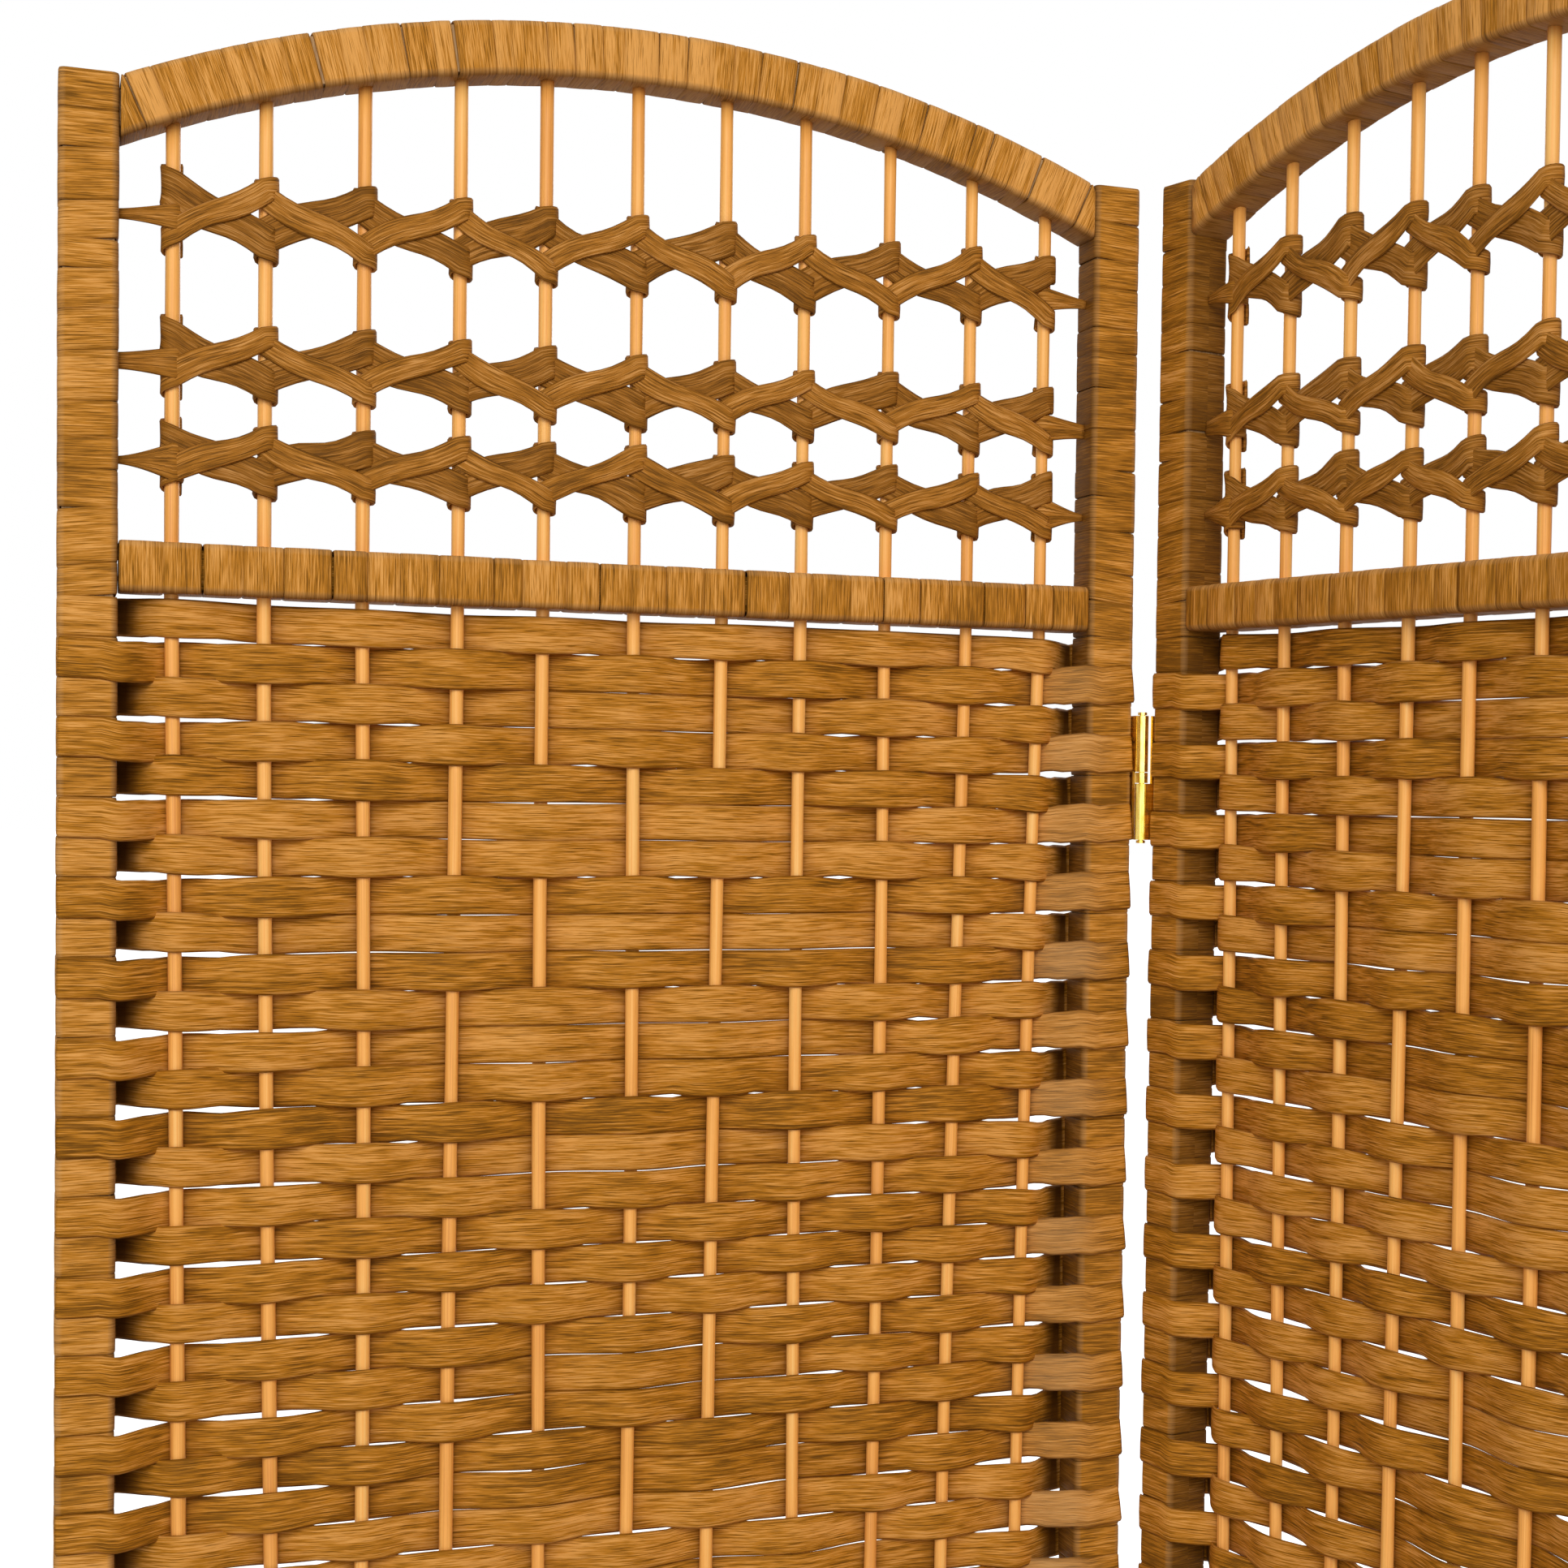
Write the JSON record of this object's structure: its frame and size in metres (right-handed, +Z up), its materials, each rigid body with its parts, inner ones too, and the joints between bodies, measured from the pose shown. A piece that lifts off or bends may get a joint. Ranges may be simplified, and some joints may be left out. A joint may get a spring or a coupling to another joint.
{
  "type": "woven folding screen",
  "caption": "Free-standing folding room divider: hinged woven panels in bound frames, with an open lattice under an arched top rail.",
  "frame": {"origin": "on the floor under the middle of the middle panel, which is the bottom centre of the bounding box", "axes": "+Z up, +X along the screen from panel 1 to panel 3, the front faces -Y"},
  "size_m": [1.1066, 0.2888, 1.8],
  "materials": {
    "bound_strip": "satin flat plant fibre strip bound round the frame",
    "timber": "plain planed softwood",
    "rod": "smooth pale peeled cane",
    "lattice_strip": "twisted flat plant fibre strip",
    "weft_strip": "satin flat plant fibre strip, woven",
    "brass": "bright plated"
  },
  "bodies": {
    "panel_1": {"panel_1_left_stile_timber": "timber", "panel_1_left_stile_binding": "bound_strip", "panel_1_right_stile_timber": "timber", "panel_1_right_stile_binding": "bound_strip", "panel_1_arch_timber": "timber", "panel_1_arch_binding": "bound_strip", "panel_1_bottom_rail_timber": "timber", "panel_1_bottom_rail_binding": "bound_strip", "panel_1_crossbar_and_rods": "rod", "panel_1_top_lattice_band": "lattice_strip", "panel_1_middle_lattice_band": "lattice_strip", "panel_1_bottom_lattice_band": "lattice_strip", "panel_1_woven_field": "weft_strip", "hinge_1_top_upper_leaf": "brass", "hinge_1_top_pin": "brass", "hinge_1_middle_upper_leaf": "brass", "hinge_1_middle_pin": "brass", "hinge_1_bottom_upper_leaf": "brass", "hinge_1_bottom_pin": "brass"},
    "panel_2": {"panel_2_left_stile_timber": "timber", "panel_2_left_stile_binding": "bound_strip", "panel_2_right_stile_timber": "timber", "panel_2_right_stile_binding": "bound_strip", "panel_2_arch_timber": "timber", "panel_2_arch_binding": "bound_strip", "panel_2_bottom_rail_timber": "timber", "panel_2_bottom_rail_binding": "bound_strip", "panel_2_crossbar_and_rods": "rod", "panel_2_top_lattice_band": "lattice_strip", "panel_2_middle_lattice_band": "lattice_strip", "panel_2_bottom_lattice_band": "lattice_strip", "panel_2_woven_field": "weft_strip", "hinge_1_top_lower_leaf": "brass", "hinge_1_middle_lower_leaf": "brass", "hinge_1_bottom_lower_leaf": "brass", "hinge_2_top_upper_leaf": "brass", "hinge_2_top_pin": "brass", "hinge_2_middle_upper_leaf": "brass", "hinge_2_middle_pin": "brass", "hinge_2_bottom_upper_leaf": "brass", "hinge_2_bottom_pin": "brass"},
    "panel_3": {"panel_3_left_stile_timber": "timber", "panel_3_left_stile_binding": "bound_strip", "panel_3_right_stile_timber": "timber", "panel_3_right_stile_binding": "bound_strip", "panel_3_arch_timber": "timber", "panel_3_arch_binding": "bound_strip", "panel_3_bottom_rail_timber": "timber", "panel_3_bottom_rail_binding": "bound_strip", "panel_3_crossbar_and_rods": "rod", "panel_3_top_lattice_band": "lattice_strip", "panel_3_middle_lattice_band": "lattice_strip", "panel_3_bottom_lattice_band": "lattice_strip", "panel_3_woven_field": "weft_strip", "hinge_2_top_lower_leaf": "brass", "hinge_2_middle_lower_leaf": "brass", "hinge_2_bottom_lower_leaf": "brass"}
  },
  "joints": [
    {"name": "fold_1", "type": "hinge", "parent": "panel_2", "child": "panel_1", "pos_m": [-0.18623, 0.12824, 0.888], "axis": [0, 0, 1], "range_deg": [-84, 104]},
    {"name": "fold_2", "type": "hinge", "parent": "panel_2", "child": "panel_3", "pos_m": [0.18623, -0.12824, 0.888], "axis": [0, 0, 1], "range_deg": [-84, 104]}
  ]
}
